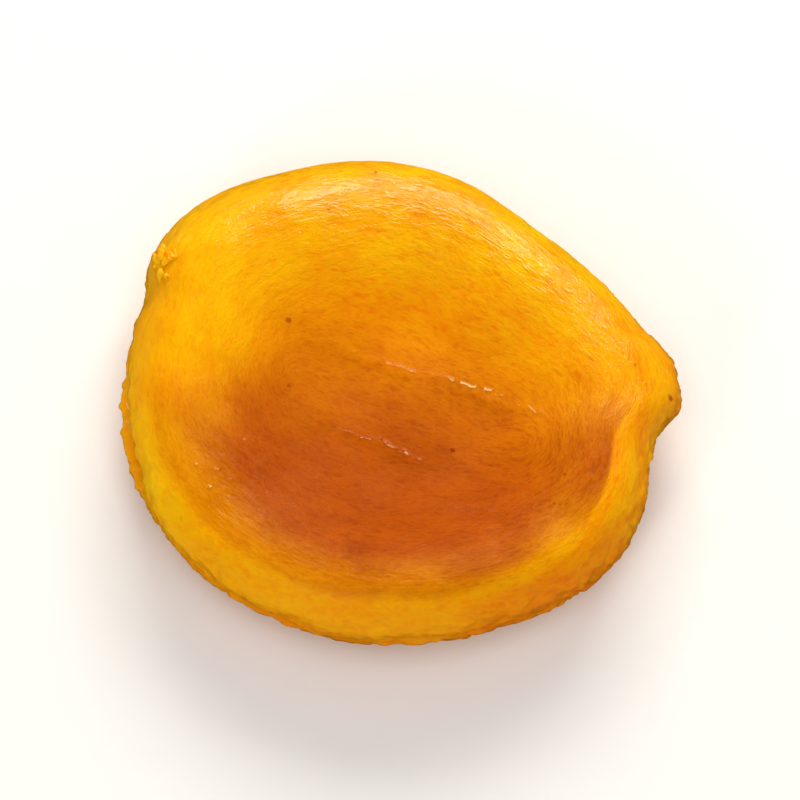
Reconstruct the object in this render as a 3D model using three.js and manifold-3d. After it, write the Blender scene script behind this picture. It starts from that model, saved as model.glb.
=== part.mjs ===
// A dried apricot, pitted whole through a slit in its edge and pressed flat.
// Millimetres, +Z up. It lies dished face up on a small flat spot, and +X points to its stem end.
import * as THREE from "three";
import { mergeVertices } from "three/addons/utils/BufferGeometryUtils.js";
import Module from "manifold-3d";

// The whole fruit. The radii are of the plain outline, before its bumps and dents.
const LENGTH_RADIUS = 23;
const WIDTH_RADIUS = 21.8;
const CREST_HEIGHT = 11.2; // top of the rolled rim
const EQUATOR_HEIGHT = 5.6; // widest line of the rim
const DISH_HEIGHT = 7.2; // floor of the dish, over the surface that the fruit lies on

// Shares of the radius, from 0 at the middle to 1 at the edge
const DISH_FLOOR_SHARE = 0.22; // the dish is flat inside this
const CREST_SHARE = 0.8;

// How far the middle of the dish stands off the fruit's own middle, which makes the rim uneven
const DISH_SHIFT = [0.9, -2.4];

// The underside
const BELLY_FLATNESS = 4; // 2 is a round belly, and more is a flatter one with a tighter edge
const BELLY_SINK = 0.06; // how far soft flesh is pressed flat, which sets the flat spot's size
const PUCKER_START = 0.55; // the height at which puckers are at their full depth

// Skin facets: each edge of an icosahedron is cut into this many, plus one
const DETAIL = 21;

// Bumps and dents of the outline: where, in degrees from +X, how far out, how wide and how blunt
const OUTLINE = [
  { at: 45, out: -3.4, spread: 36, blunt: 2 }, // straight side beside the stem end
  { at: 3, out: 1.4, spread: 9.5, blunt: 4 }, // stem end
  { at: -15, out: -1, spread: 10, blunt: 2 }, // hollow under the stem end
  { at: -42, out: 0.7, spread: 17, blunt: 2 }, // shoulder under the stem end
  { at: 140, out: 1.6, spread: 20, blunt: 2 }, // shoulder before the slit
  { at: 157, out: -0.8, spread: 4, blunt: 2 }, // nick where the slit begins
];

// Slow waves round the rim: how many, how high, and where the first one tops out, in degrees
const CREST_WAVES = [
  { lobes: 2, height: 0.55, at: 115 },
  { lobes: 3, height: 0.3, at: 20 },
  { lobes: 5, height: 0.16, at: 200 },
];
const FLOOR_WAVES = [
  { lobes: 1, height: 0.35, at: 250 },
  { lobes: 2, height: 0.25, at: 60 },
];

// Creases over the rim, deepest on its inner slope: where, how deep, how wide in degrees
const RIM_CREASES = [
  { at: 24, deep: 0.16, spread: 6 },
  { at: 63, deep: 0.12, spread: 5 },
  { at: 97, deep: 0.16, spread: 5 },
  { at: 131, deep: 0.12, spread: 5 },
  { at: 172, deep: 0.2, spread: 5 },
  { at: 214, deep: 0.24, spread: 4.5 },
  { at: 246, deep: 0.18, spread: 5 },
  { at: 281, deep: 0.22, spread: 4 },
  { at: 318, deep: 0.18, spread: 5 },
  { at: 344, deep: 0.2, spread: 5 },
];

// Low folds across the dish: the ends of each in millimetres, its height and its half width
const DISH_FOLDS = [
  { from: [-6.6, 5.3], to: [12.2, -2], high: 0.3, half: 1.6 },
  { from: [-5.8, -2.2], to: [2.6, -5.5], high: 0.24, half: 1.4 },
  { from: [1, -9.2], to: [10.5, -11.2], high: 0.2, half: 1.6 },
];

// Long puckers of the underside, which run from the stem end to the slit
const PUCKER_PITCH = 6.4;
const PUCKER_DEPTH = 0.55;
const PUCKER_SWAY = 1.5; // how far they wander sideways

// Slow unevenness of all the skin but the flat spot
const UNEVEN = 0.13;

// The suture, a faint groove along the edge from the slit round to the stem end
const SUTURE = { from: 205, to: 352, deep: 0.4, half: 0.9 };

// The stem end is pinched thin
const PINCH = { at: 3, spread: 12, keep: 0.7 };

// The slit that the stone came out by, in the edge away from the stem end
const SLIT = { at: 181, half_length: 10.5, depth: 6, half_gap: 0.65, sway: 0.6 };
const UPPER_LIP_BACK = 0.6; // the upper lip stands this far behind the lower one
const LIP_FADE = 3; // degrees over which a lip steps back

// A torn tag of flesh at the slit's end, of lumps in a row: place by angle and distance in, and size
const TAG_LUMPS = [
  { at: 146, in_from_edge: 1.9, size: [1.2, 0.8, 0.8], turn: 80, sink: 0.35 },
  { at: 149, in_from_edge: 1.6, size: [1.2, 0.7, 0.7], turn: 52, sink: 0.25 },
  { at: 152, in_from_edge: 1.7, size: [0.8, 0.6, 0.6], turn: 90, sink: 0.25 },
];

// The stem's scar, a shallow dimple in the stem end
const SCAR = { at: 3, radius: 1.7, deep: 0.5 };

const radians = THREE.MathUtils.degToRad;

// An angle in degrees brought to within half a turn of zero.
function nearZero(degrees) {
  return THREE.MathUtils.euclideanModulo(degrees + 180, 360) - 180;
}

// A soft bump of height 1 at zero. A blunt one has a flatter top and steeper sides.
function bump(distance, spread, blunt = 2) {
  return Math.exp(-(Math.abs(distance / spread) ** blunt));
}

// 1 between two angles in degrees, fading to 0 outside them.
function between(angle, from, to, fade) {
  const middle = (from + to) / 2;
  const past = Math.abs(nearZero(angle - middle)) - (to - from) / 2;
  return 1 - THREE.MathUtils.smoothstep(past, -fade, fade);
}

// A sum of slow waves at an angle in degrees.
function waves(list, angle) {
  return list.reduce((sum, w) => sum + w.height * Math.cos(radians(w.lobes * (angle - w.at))), 0);
}

// The outline's radius at an angle in degrees.
function outlineRadius(angle) {
  const a = radians(angle);
  const plain = 1 / Math.hypot(Math.cos(a) / LENGTH_RADIUS, Math.sin(a) / WIDTH_RADIUS);
  return OUTLINE.reduce((r, b) => r + b.out * bump(nearZero(angle - b.at), b.spread, b.blunt), plain);
}

// A quarter of an ellipse: 1 at its start, falling steeply to 0 at its end.
function quarterRound(share, start) {
  return Math.sqrt(Math.max(0, 1 - ((share - start) / (1 - start)) ** 2));
}

// How thick the pinched rim is, as a share of its plain thickness.
function pinchAt(angle, share) {
  const near = THREE.MathUtils.smoothstep(share, 0.55, 1);
  return 1 - (1 - PINCH.keep) * near * bump(nearZero(angle - PINCH.at), PINCH.spread);
}

// A slow swell of the skin, up to about 1 either way.
function swell(x, y) {
  return 0.6 * Math.sin(x / 2.9 + 0.6) * Math.cos(y / 3.3 - 0.4) + 0.4 * Math.sin(x / 1.9 - y / 2.3);
}

// Height of a low fold's ridge over a point of the dish.
function foldHeight(fold, x, y) {
  const [dx, dy] = [fold.to[0] - fold.from[0], fold.to[1] - fold.from[1]];
  const length = Math.hypot(dx, dy);
  const along = ((x - fold.from[0]) * dx + (y - fold.from[1]) * dy) / length;
  const aside = ((x - fold.from[0]) * -dy + (y - fold.from[1]) * dx) / length;
  const past = Math.max(-along, along - length, 0);
  return fold.high * bump(aside, fold.half) * bump(past, 2 * fold.half);
}

// Depth of the rim's creases, which fade out on the dish's floor and at the edge.
function creaseDepth(angle, share) {
  const fade = bump(share - CREST_SHARE, 0.24);
  return fade * RIM_CREASES.reduce((d, c) => d + c.deep * bump(nearZero(angle - c.at), c.spread), 0);
}

// Where an angle and a share of the radius lie in plan, on the upper skin or on the underside.
function placeInPlan(angle, share, upper) {
  const radius = outlineRadius(angle) * share;
  const shift = upper ? 1 - share ** 4 : 0;
  const x = radius * Math.cos(radians(angle)) + DISH_SHIFT[0] * shift;
  const y = radius * Math.sin(radians(angle)) + DISH_SHIFT[1] * shift;
  return [x, y];
}

// Height of the upper skin at an angle and a share of the radius.
function topHeight(angle, share, x, y) {
  const over = CREST_HEIGHT + waves(CREST_WAVES, angle) - EQUATOR_HEIGHT;
  const crest = EQUATOR_HEIGHT + over * pinchAt(angle, share);
  const skin = UNEVEN * swell(x, y) - creaseDepth(angle, share);
  if (share > CREST_SHARE) {
    return EQUATOR_HEIGHT + (crest + skin - EQUATOR_HEIGHT) * quarterRound(share, CREST_SHARE);
  }
  const reach = Math.max(0, (share - DISH_FLOOR_SHARE) / (CREST_SHARE - DISH_FLOOR_SHARE));
  const rise = 0.5 - 0.5 * Math.cos(Math.PI * reach);
  const floor = DISH_HEIGHT + waves(FLOOR_WAVES, angle) * share;
  const folds = DISH_FOLDS.reduce((h, f) => h + foldHeight(f, x, y), 0);
  return floor + (crest - floor) * rise + folds * (1 - rise) + skin;
}

// How far the puckers of the underside cut into it, from 0 to 1.
function puckerGroove(x, y) {
  const sway = PUCKER_SWAY * (Math.sin(x / 6 + 0.8) + 0.4 * Math.sin(x / 3.7 + y / 5));
  return 0.5 + 0.5 * Math.cos((2 * Math.PI * (y + sway)) / PUCKER_PITCH);
}

// Height of the underside, pressed flat at zero under the middle.
function underHeight(angle, share, x, y) {
  const round = Math.sqrt(1 - share ** BELLY_FLATNESS);
  const belly = EQUATOR_HEIGHT - (EQUATOR_HEIGHT + BELLY_SINK) * round * pinchAt(angle, share);
  const off = THREE.MathUtils.smoothstep(belly, 0, PUCKER_START) * round;
  const skin = PUCKER_DEPTH * puckerGroove(x, y) + UNEVEN * swell(y, x);
  return Math.max(0, belly + off * skin);
}

// Moves a point of a unit sphere to the fruit's skin.
function toSkin(point) {
  const angle = THREE.MathUtils.radToDeg(Math.atan2(point.y, point.x));
  const share = Math.min(1, Math.hypot(point.x, point.y));
  const upper = point.z >= 0;
  const [x, y] = placeInPlan(angle, share, upper);
  const z = upper ? topHeight(angle, share, x, y) : underHeight(angle, share, x, y);
  const outer = THREE.MathUtils.smoothstep(share, CREST_SHARE, 1);
  const suture = between(nearZero(angle), SUTURE.from - 360, SUTURE.to - 360, 8);
  const lip = between(angle, SLIT.at - 24, SLIT.at + 24, LIP_FADE) * (z > EQUATOR_HEIGHT ? UPPER_LIP_BACK : 0);
  const inward = outer * (lip + suture * SUTURE.deep * bump(z - EQUATOR_HEIGHT, SUTURE.half));
  point.set(x - inward * Math.cos(radians(angle)), y - inward * Math.sin(radians(angle)), z);
}

// The pressed fruit before it is slit.
function skinGeometry() {
  const geometry = closed(new THREE.IcosahedronGeometry(1, DETAIL));
  const position = geometry.attributes.position;
  const point = new THREE.Vector3();
  for (let i = 0; i < position.count; i++) {
    point.fromBufferAttribute(position, i).normalize();
    toSkin(point);
    position.setXYZ(i, point.x, point.y, point.z);
  }
  return geometry;
}

// A thin lens that swings up and down along its length: what the slit takes out.
function slitGeometry() {
  const geometry = closed(new THREE.SphereGeometry(1, 48, 24));
  geometry.rotateX(Math.PI / 2);
  geometry.scale(SLIT.depth, SLIT.half_length, SLIT.half_gap);
  const position = geometry.attributes.position;
  for (let i = 0; i < position.count; i++) {
    const sway = SLIT.sway * Math.sin((2.4 * position.getY(i)) / SLIT.half_length + 0.7);
    position.setZ(i, position.getZ(i) + sway);
  }
  const turn = radians(SLIT.at);
  const out = outlineRadius(SLIT.at);
  return geometry.rotateZ(turn).translate(out * Math.cos(turn), out * Math.sin(turn), EQUATOR_HEIGHT);
}

// One lump of the torn tag, its root sunk in the rim.
function lumpGeometry(lump) {
  const share = 1 - lump.in_from_edge / outlineRadius(lump.at);
  const [x, y] = placeInPlan(lump.at, share, true);
  const height = topHeight(lump.at, share, x, y);
  const geometry = closed(new THREE.SphereGeometry(1, 14, 9));
  return geometry.scale(...lump.size).rotateZ(radians(lump.turn)).translate(x, y, height - lump.sink);
}

// What the scar's dimple takes out of the stem end.
function scarGeometry() {
  const turn = radians(SCAR.at);
  const out = outlineRadius(SCAR.at) + SCAR.radius - SCAR.deep;
  const geometry = closed(new THREE.SphereGeometry(SCAR.radius, 20, 14));
  return geometry.translate(out * Math.cos(turn), out * Math.sin(turn), EQUATOR_HEIGHT);
}

// A closed mesh with only its positions, its shared corners merged.
function closed(geometry) {
  geometry.deleteAttribute("normal");
  geometry.deleteAttribute("uv");
  return mergeVertices(geometry, 1e-5);
}

const wasm = await Module();
wasm.setup();

function toSolid(geometry) {
  const vertProperties = new Float32Array(geometry.attributes.position.array);
  const triVerts = new Uint32Array(geometry.index.array);
  return new wasm.Manifold(new wasm.Mesh({ numProp: 3, vertProperties, triVerts }));
}

function toGeometry(solid) {
  const mesh = solid.getMesh();
  const geometry = new THREE.BufferGeometry();
  geometry.setAttribute("position", new THREE.BufferAttribute(mesh.vertProperties, 3));
  geometry.setIndex(new THREE.BufferAttribute(mesh.triVerts, 1));
  return geometry;
}

// The finished fruit, its box centred over the origin.
function fruitGeometry() {
  const tagged = TAG_LUMPS.reduce((body, lump) => body.add(toSolid(lumpGeometry(lump))), toSolid(skinGeometry()));
  const cut = tagged.subtract(toSolid(slitGeometry())).subtract(toSolid(scarGeometry()));
  const geometry = toGeometry(cut);
  geometry.computeBoundingBox();
  const middle = geometry.boundingBox.getCenter(new THREE.Vector3());
  geometry.translate(-middle.x, -middle.y, 0);
  geometry.computeVertexNormals();
  return geometry;
}

const flesh = new THREE.MeshStandardMaterial({ color: 0xf2a012, roughness: 0.35, metalness: 0 });
const fruit = new THREE.Mesh(fruitGeometry(), flesh);
fruit.name = "fruit";

const apricot = new THREE.Group();
apricot.name = "apricot";
apricot.add(fruit);

export default apricot;
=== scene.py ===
"""A dried apricot, pitted whole and pressed flat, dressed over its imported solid.

The solid gives the fruit its form. This script refines a copy of it, raises the fine relief of
the dried skin with Geometry Nodes, gives the flesh its finish, and sets the floor, the lights and
the camera.
"""

import logging
import math
from dataclasses import dataclass
from enum import Enum

import bmesh
import bpy
import numpy as np
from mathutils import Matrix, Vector

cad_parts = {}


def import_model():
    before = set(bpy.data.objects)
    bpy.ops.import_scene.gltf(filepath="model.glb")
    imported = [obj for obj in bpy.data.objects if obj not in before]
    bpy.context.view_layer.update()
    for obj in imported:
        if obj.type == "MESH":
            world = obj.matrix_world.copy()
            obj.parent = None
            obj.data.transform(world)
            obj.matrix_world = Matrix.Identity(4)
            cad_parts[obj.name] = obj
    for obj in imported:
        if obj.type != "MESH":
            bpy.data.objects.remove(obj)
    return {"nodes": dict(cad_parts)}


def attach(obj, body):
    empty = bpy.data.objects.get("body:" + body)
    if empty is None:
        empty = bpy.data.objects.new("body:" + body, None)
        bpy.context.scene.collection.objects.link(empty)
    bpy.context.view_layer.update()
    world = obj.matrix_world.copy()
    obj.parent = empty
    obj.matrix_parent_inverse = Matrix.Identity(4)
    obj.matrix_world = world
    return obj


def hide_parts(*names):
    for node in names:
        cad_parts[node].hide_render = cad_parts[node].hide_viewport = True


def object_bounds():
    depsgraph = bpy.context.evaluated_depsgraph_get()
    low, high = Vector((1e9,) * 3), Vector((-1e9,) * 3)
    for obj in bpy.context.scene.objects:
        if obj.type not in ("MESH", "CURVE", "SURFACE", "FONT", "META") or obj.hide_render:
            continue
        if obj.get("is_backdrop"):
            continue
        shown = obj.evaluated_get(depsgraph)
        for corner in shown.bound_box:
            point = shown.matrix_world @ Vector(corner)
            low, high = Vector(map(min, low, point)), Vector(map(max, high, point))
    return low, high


MM = 0.001  # metres in a millimetre
BODY = "root"
SOLID = "fruit"
AIM_SHARE = 0.45  # the camera aims at this share of the fruit's height

LOG = logging.getLogger("apricot")

Colour = tuple[float, float, float, float]
Point = tuple[float, float, float]
PlanPoint = tuple[float, float]
Sources = dict[str | int, object]  # what feeds a node's inputs, by name or number

WHITE: Colour = (1.0, 1.0, 1.0, 1.0)
WARM: Colour = (1.0, 0.95, 0.8, 1.0)


def colour(red: int, green: int, blue: int) -> Colour:
    """A colour as nodes take it.

    Args:
        red: Its red as a screen shows it, 0 to 255.
        green: Its green.
        blue: Its blue.

    Returns:
        The colour in linear light, opaque.
    """
    shares = [c / 255 for c in (red, green, blue)]
    linear = [c / 12.92 if c < 0.04045 else ((c + 0.055) / 1.055) ** 2.4 for c in shares]
    return (linear[0], linear[1], linear[2], 1.0)


def grey(light: float) -> Colour:
    """A grey that a soft light blend lightens or darkens by: 0.5 changes nothing."""
    return (light, light, light, 1.0)


class Field:
    """A value that a node tree works out. Arithmetic on it adds nodes to the tree."""

    def __init__(self, net: "Net", socket: bpy.types.NodeSocket) -> None:
        """Wraps an output socket of the net's tree."""
        self.net = net
        self.socket = socket

    def __add__(self, other: "Field | float") -> "Field":
        """The sum."""
        return self.net.math("ADD", self, other)

    def __radd__(self, other: float) -> "Field":
        """The sum."""
        return self.net.math("ADD", other, self)

    def __sub__(self, other: "Field | float") -> "Field":
        """The difference."""
        return self.net.math("SUBTRACT", self, other)

    def __rsub__(self, other: float) -> "Field":
        """The difference from a number."""
        return self.net.math("SUBTRACT", other, self)

    def __mul__(self, other: "Field | float") -> "Field":
        """The product."""
        return self.net.math("MULTIPLY", self, other)

    def __rmul__(self, other: float) -> "Field":
        """The product."""
        return self.net.math("MULTIPLY", other, self)

    def __truediv__(self, other: "Field | float") -> "Field":
        """The quotient."""
        return self.net.math("DIVIDE", self, other)

    def __rtruediv__(self, other: float) -> "Field":
        """The quotient of a number and the field."""
        return self.net.math("DIVIDE", other, self)

    def __pow__(self, power: float) -> "Field":
        """The field raised to a power."""
        return self.net.math("POWER", self, power)

    def ramp(self, low: float, high: float) -> "Field":
        """A smooth step: 0 at low, 1 at high, and level outside them."""
        sources = {0: self, 1: low, 2: high, 3: 0.0, 4: 1.0}
        return self.net.out("ShaderNodeMapRange", sources, interpolation_type="SMOOTHSTEP")

    def clamped(self) -> "Field":
        """The field, held between 0 and 1."""
        return self.net.out("ShaderNodeClamp", {"Value": self})

    def hump(self, half: float) -> "Field":
        """A soft bump, 1 where the field is 0, that falls away over half on either side."""
        share = self / half
        return self.net.math("EXPONENT", -1.0 * share * share)


class Net:
    """A node tree under construction, for geometry or for shading."""

    def __init__(self, tree: bpy.types.NodeTree) -> None:
        """Starts on a tree, which may hold nodes already."""
        self.tree = tree

    def add(self, kind: str, sources: Sources | None = None, **settings: object) -> bpy.types.Node:
        """Adds a node.

        Args:
            kind: The node's type.
            sources: What feeds each input, by name or number: a Field or a plain value.
            settings: The node's own settings.

        Returns:
            The node.
        """
        node = self.tree.nodes.new(kind)
        for name, value in settings.items():
            setattr(node, name, value)
        for name, value in (sources or {}).items():
            self.feed(node.inputs[name], value)
        return node

    def feed(self, socket: bpy.types.NodeSocket, value: object) -> None:
        """Links a Field to an input, or sets the input's own value."""
        if isinstance(value, Field):
            self.tree.links.new(value.socket, socket)
        else:
            socket.default_value = value

    def out(
        self, kind: str, sources: Sources | None = None, index: int | str = 0, **settings: object
    ) -> Field:
        """Adds a node and gives one of its outputs, by name or number."""
        return Field(self, self.add(kind, sources, **settings).outputs[index])

    def math(self, operation: str, *values: Field | float) -> Field:
        """A Math node on up to three values."""
        return self.out("ShaderNodeMath", dict(enumerate(values)), operation=operation)

    def vector_math(self, operation: str, *values: object, index: int | str = 0) -> Field:
        """A Vector Math node on up to three vectors."""
        return self.out("ShaderNodeVectorMath", dict(enumerate(values)), index, operation=operation)

    def split(self, vector: Field) -> tuple[Field, Field, Field]:
        """The three parts of a vector."""
        x, y, z = self.add("ShaderNodeSeparateXYZ", {0: vector}).outputs
        return Field(self, x), Field(self, y), Field(self, z)

    def join(self, x: Field | float, y: Field | float, z: Field | float) -> Field:
        """A vector made of three parts."""
        return self.out("ShaderNodeCombineXYZ", {0: x, 1: y, 2: z})

    def scaled(self, vector: Field | Point, factor: Field | float) -> Field:
        """A vector made longer or shorter."""
        return self.out("ShaderNodeVectorMath", {0: vector, "Scale": factor}, operation="SCALE")

    def distance(self, a: Field, b: Field | Point) -> Field:
        """How far apart two places are."""
        return self.vector_math("DISTANCE", a, b, index="Value")

    def noise(
        self,
        place: Field,
        scale: Field | float,
        detail: float,
        rough: float,
        shift: Field | float | None = None,
    ) -> Field:
        """Smooth noise from 0 to 1 with its middle at about 0.5.

        Args:
            place: Where it is worked out.
            scale: How many waves it has in a unit of length.
            detail: How many finer octaves it has.
            rough: How strong each finer octave is.
            shift: Its fourth coordinate, which picks another pattern. None gives plain noise.

        Returns:
            The noise.
        """
        sources: Sources = {"Vector": place, "Scale": scale, "Detail": detail, "Roughness": rough}
        if shift is None:
            return self.out("ShaderNodeTexNoise", sources, noise_dimensions="3D")
        return self.out("ShaderNodeTexNoise", {**sources, "W": shift}, noise_dimensions="4D")

    def cloud_vector(self, place: Field, scale: float, detail: float) -> Field:
        """Three smooth noises at once, as a vector with its middle at about 0.5 each way."""
        sources: Sources = {"Vector": place, "Scale": scale, "Detail": detail}
        return self.out("ShaderNodeTexNoise", sources, "Color")

    def wandered(self, place: Field, scale: float, detail: float, reach: float) -> Field:
        """A place in plan that smooth noise moves sideways.

        Args:
            place: The place. Its height is dropped.
            scale: How many waves the noise has in a unit of length.
            detail: How many finer octaves it has.
            reach: How far the place moves, from end to end.

        Returns:
            The moved place, with no height.
        """
        x, y, _ = self.split(place)
        cloud = self.cloud_vector(place, scale, detail)
        drift = self.vector_math("SUBTRACT", cloud, (0.5, 0.5, 0.5))
        sideways = self.vector_math("MULTIPLY", drift, (reach, reach, 0.0))
        return self.vector_math("ADD", self.join(x, y, 0.0), sideways)

    def nothing(self) -> Field:
        """A field of 0, which sums and largest values start from."""
        return self.math("ADD", 0.0, 0.0)

    def ridged(self, noise: Field, sharp: float) -> Field:
        """Thin ridges, 1 along the noise's middle value. The sharper, the thinner they are."""
        return (1.0 - self.math("ABSOLUTE", noise * 2.0 - 1.0)) ** sharp

    def mix(self, factor: Field | float, a: object, b: object) -> Field:
        """A colour between a and b."""
        return self.blend("MIX", factor, a, b)

    def blend(self, mode: str, factor: Field | float, a: object, b: object) -> Field:
        """Colour a with b laid over it in a blend mode, such as MULTIPLY."""
        sources: Sources = {0: factor, 6: a, 7: b}
        return self.out("ShaderNodeMix", sources, 2, data_type="RGBA", blend_type=mode)


def new_socket(
    tree: bpy.types.NodeTree, name: str, kind: str, into: bool = True, value: object = None
) -> str:
    """Adds a named input or output to a tree or group.

    Args:
        tree: The tree.
        name: The socket's name.
        kind: The socket's type, such as NodeSocketFloat.
        into: True for an input, False for an output.
        value: Its value when nothing feeds it.

    Returns:
        The socket's identifier, by which a modifier sets it.
    """
    side = "INPUT" if into else "OUTPUT"
    made = tree.interface.new_socket(name=name, in_out=side, socket_type=kind)
    if value is not None:
        made.default_value = value
    return made.identifier


@dataclass(frozen=True)
class Anatomy:
    """Where things are on the fruit, in millimetres, and angles in degrees from the stem end."""

    equator: float = 5.6  # height of the rim's widest line
    slit_from: float = 155.0
    slit_to: float = 207.0
    slit_half_gap: float = 0.95
    lip: float = 1.1  # the slit's walls start this far behind the outline
    scar: Point = (23.3, 1.2, 5.6)
    tag: Point = (-19.2, 10.4, 9.2)
    dish_shift: PlanPoint = (0.9, -2.4)  # the dish's middle, from the fruit's own
    spine: tuple[PlanPoint, PlanPoint] = ((-8.5, 1.2), (10.0, -5.0))  # the dish's middle line


ANATOMY = Anatomy()


class Attribute(Enum):
    """Values that the refined skin carries from one step to the next, by their stored names."""

    SHARE = "share"  # how far out a point is, from 0 at the middle to 1 at the outline
    CONTOUR = "contour"  # how far out it is from the dish's middle line, 1 at the outline
    INSIDE = "inside"  # 1 on the walls of the slit
    DISH = "dish"  # 1 on the dish's floor, fading to 0 at the crest
    CREASE = "crease"  # from 0 in a crease to 1 on a ridge
    WET = "wet"  # 1 where syrup lies on the flesh and makes it shine


@dataclass(frozen=True)
class FoldLine:
    """A thin fold across the dish, in millimetres in plan."""

    start: PlanPoint
    end: PlanPoint
    height: float  # in millimetres in the mesh, or the most that a shader's ridge gives
    half: float  # half its width

    def ridge(self, net: Net, place: Field) -> Field:
        """The fold's height over a place in plan.

        Args:
            net: The tree that works it out.
            place: The place, with no height of its own.

        Returns:
            The height.
        """
        start = (self.start[0], self.start[1], 0.0)
        run = (self.end[0] - self.start[0], self.end[1] - self.start[1], 0.0)
        square = run[0] ** 2 + run[1] ** 2
        from_start = net.vector_math("SUBTRACT", place, start)
        along = (net.vector_math("DOT_PRODUCT", from_start, run, index="Value") / square).clamped()
        away = net.distance(from_start, net.scaled(run, along))
        taper = (along * (1.0 - along) * 4.0).clamped() ** 0.5
        return away.hump(self.half) * taper * self.height


def fold_ridges(net: Net, folds: tuple[FoldLine, ...], place: Field) -> Field:
    """The height of several folds over a place in plan."""
    return sum((fold.ridge(net, place) for fold in folds), start=net.nothing())


@dataclass(frozen=True)
class Relief:
    """Heights and pitches of the dried skin's relief, in millimetres."""

    smoothing: int = 18  # passes that take the solid's flat facets away
    swell: float = 0.14  # broad, soft waves
    swell_pitch: float = 5.0
    contour: float = 0.045  # lines that follow the rim, in the dish
    contour_pitch: float = 0.9
    contour_reach: float = 22.0  # from the dish's middle line to the outline, about
    wrinkle: float = 0.4  # long ridges of the outer skin
    wrinkle_pitch: float = 2.6
    wrinkle_stretch: float = 2.6  # how many times longer than wide they are
    crinkle: float = 0.2  # net of small cells in the outer skin
    crinkle_pitch: float = 1.5
    crinkle_warp: float = 3.0
    dent: float = 0.09  # small, soft dents
    dent_pitch: float = 1.7
    grain: float = 0.02  # the finest relief in the mesh
    grain_pitch: float = 0.75
    coarse: float = 0.08  # knobbly flesh on the near left of the dish
    coarse_pitch: float = 0.95
    coarse_place: Point = (-14.5, -11.0, 8.5)
    coarse_reach: float = 4.5
    torn: float = 0.35  # torn flesh where the slit begins
    torn_reach: float = 1.7
    wander: float = 1.7  # how far the folds stray sideways
    seed: float = 3.7
    folds: tuple[FoldLine, ...] = (
        FoldLine((-6.8, 4.4), (12.2, -2.8), 0.16, 0.5),
        FoldLine((-5.8, -3.1), (2.6, -6.6), 0.13, 0.45),
        FoldLine((1.0, -10.2), (10.5, -12.2), 0.1, 0.5),
    )


@dataclass(frozen=True)
class SkinPlace:
    """Where on the skin a point of the relief's tree is. Shares go from 0 to 1."""

    place: Field  # in millimetres, as x, y and z are
    x: Field
    y: Field
    z: Field
    share: Field
    inside: Field
    upward: Field  # 1 where the skin faces up
    dish: Field  # 1 on the dish's floor, fading out towards the crest
    outer: Field  # 1 on the underside and the outer side of the rim
    lifted: Field  # 0 on the flat spot and in the slit
    seed: Field

    @classmethod
    def read(cls, net: Net, seed: Field) -> "SkinPlace":
        """Reads it in a geometry tree.

        Args:
            net: The tree.
            seed: The shift that its patterns take.

        Returns:
            The fields.
        """
        place = net.out("GeometryNodeInputPosition")
        x, y, z = net.split(place)
        share, inside = named(net, Attribute.SHARE), named(net, Attribute.INSIDE)
        upward = net.split(net.out("GeometryNodeInputNormal"))[2].ramp(-0.1, 0.45)
        bowl = upward * (1.0 - share.ramp(0.84, 0.94))
        lift = (y * -1.0).ramp(-6.0, 10.0) * 2.4
        low = 1.0 - (z - lift).ramp(ANATOMY.equator - 1.0, ANATOMY.equator + 3.2)
        return cls(
            place=place,
            x=x,
            y=y,
            z=z,
            share=share,
            inside=inside,
            upward=upward,
            dish=(1.0 - share.ramp(0.3, 0.88)) * upward,
            outer=low * (1.0 - bowl),
            lifted=z.ramp(0.03, 0.7) * (1.0 - inside),
            seed=seed,
        )


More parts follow.
